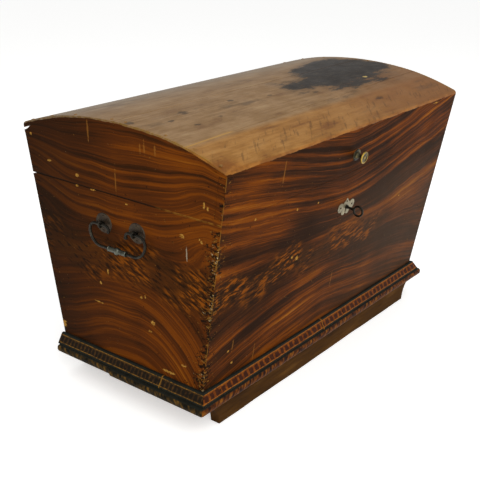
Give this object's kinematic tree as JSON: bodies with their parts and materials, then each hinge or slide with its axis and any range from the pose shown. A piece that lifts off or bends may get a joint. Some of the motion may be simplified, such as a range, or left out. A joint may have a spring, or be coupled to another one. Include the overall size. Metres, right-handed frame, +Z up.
{
  "type": "dome-top trunk",
  "caption": "Wooden chest with outward-leaning dovetailed walls, a domed hinged lid, splayed base moulding on runners, iron bail handles and a keyed lock.",
  "frame": {"origin": "on the floor under the middle of the trunk's overall box", "axes": "+X along the trunk to the right as seen from the front, +Y from the front to the back, +Z up"},
  "size_m": [1.0612, 0.6235, 0.6877],
  "materials": {
    "grained_pine": "satin",
    "worn_top": "satin",
    "grained_moulding": "satin",
    "dark_runner": "matte",
    "black_iron": "satin",
    "rusty_iron": "matte",
    "bare_steel": "satin",
    "aged_brass": "satin",
    "tin_plate": "satin"
  },
  "bodies": {
    "box": {"box_front_board": "grained_pine", "box_back_board": "grained_pine", "box_left_board": "grained_pine", "box_right_board": "grained_pine", "bottom_plank_front": "grained_moulding", "bottom_plank_back": "grained_moulding", "base_moulding_front_left": "grained_moulding", "base_moulding_front_right": "grained_moulding", "base_moulding_left_front": "grained_moulding", "base_moulding_left_back": "grained_moulding", "base_moulding_right": "grained_moulding", "runner_front": "dark_runner", "runner_back": "dark_runner", "moulding_nails": "rusty_iron", "lock_case": "black_iron", "lock_guides": "black_iron", "lock_nails": "rusty_iron", "escutcheon": "tin_plate", "escutcheon_nails": "rusty_iron", "hinge_left_box_strap": "black_iron", "hinge_right_box_strap": "black_iron", "hinge_left_pin": "black_iron", "hinge_right_pin": "black_iron", "hinge_box_nails": "rusty_iron", "left_eyes": "black_iron", "right_eyes": "black_iron", "left_rosettes": "rusty_iron", "right_rosettes": "rusty_iron", "left_rosette_nails": "rusty_iron", "right_rosette_nails": "rusty_iron"},
    "lid": {"lid_front_rail": "grained_pine", "lid_back_rail": "grained_pine", "lid_left_gable": "grained_pine", "lid_right_gable": "grained_pine", "lid_board_front": "worn_top", "lid_board_front_middle": "worn_top", "lid_board_back_middle": "worn_top", "lid_board_back": "worn_top", "lid_nails": "rusty_iron", "lock_staple": "black_iron", "staple_nails": "rusty_iron", "knob": "aged_brass", "knob_backplate": "aged_brass", "knob_nut": "black_iron", "hinge_left_lid_strap": "black_iron", "hinge_right_lid_strap": "black_iron", "hinge_lid_nails": "rusty_iron"},
    "key": {"key": "black_iron"},
    "bolt": {"lock_bolt": "black_iron"},
    "left_handle": {"left_bail": "black_iron", "left_bail_grip": "bare_steel"},
    "right_handle": {"right_bail": "black_iron", "right_bail_grip": "bare_steel"}
  },
  "joints": [
    {"name": "lid_hinge", "type": "hinge", "parent": "box", "child": "lid", "pos_m": [0, 0.30017, 0.51646], "axis": [-1, 0, 0], "range_deg": [0, 100]},
    {"name": "left_bail_swing", "type": "hinge", "parent": "box", "child": "left_handle", "pos_m": [-0.5218, 0.0126, 0.44245], "axis": [0, 1, 0], "range_deg": [0, 150]},
    {"name": "right_bail_swing", "type": "hinge", "parent": "box", "child": "right_handle", "pos_m": [0.5218, 0.0126, 0.44245], "axis": [0, -1, 0], "range_deg": [0, 150]},
    {"name": "key_turn", "type": "hinge", "parent": "box", "child": "key", "pos_m": [0, -0.26147, 0.423], "axis": [0, -0.9895, -0.1444], "range_deg": [0, 185]},
    {"name": "bolt_slide", "type": "slide", "parent": "box", "child": "bolt", "axis": [-1, 0, 0], "range_m": [0, 0.012]}
  ],
  "couplings": [
    {"joint": "key_turn", "follows": "bolt_slide", "rad_per_m": 261.8}
  ]
}
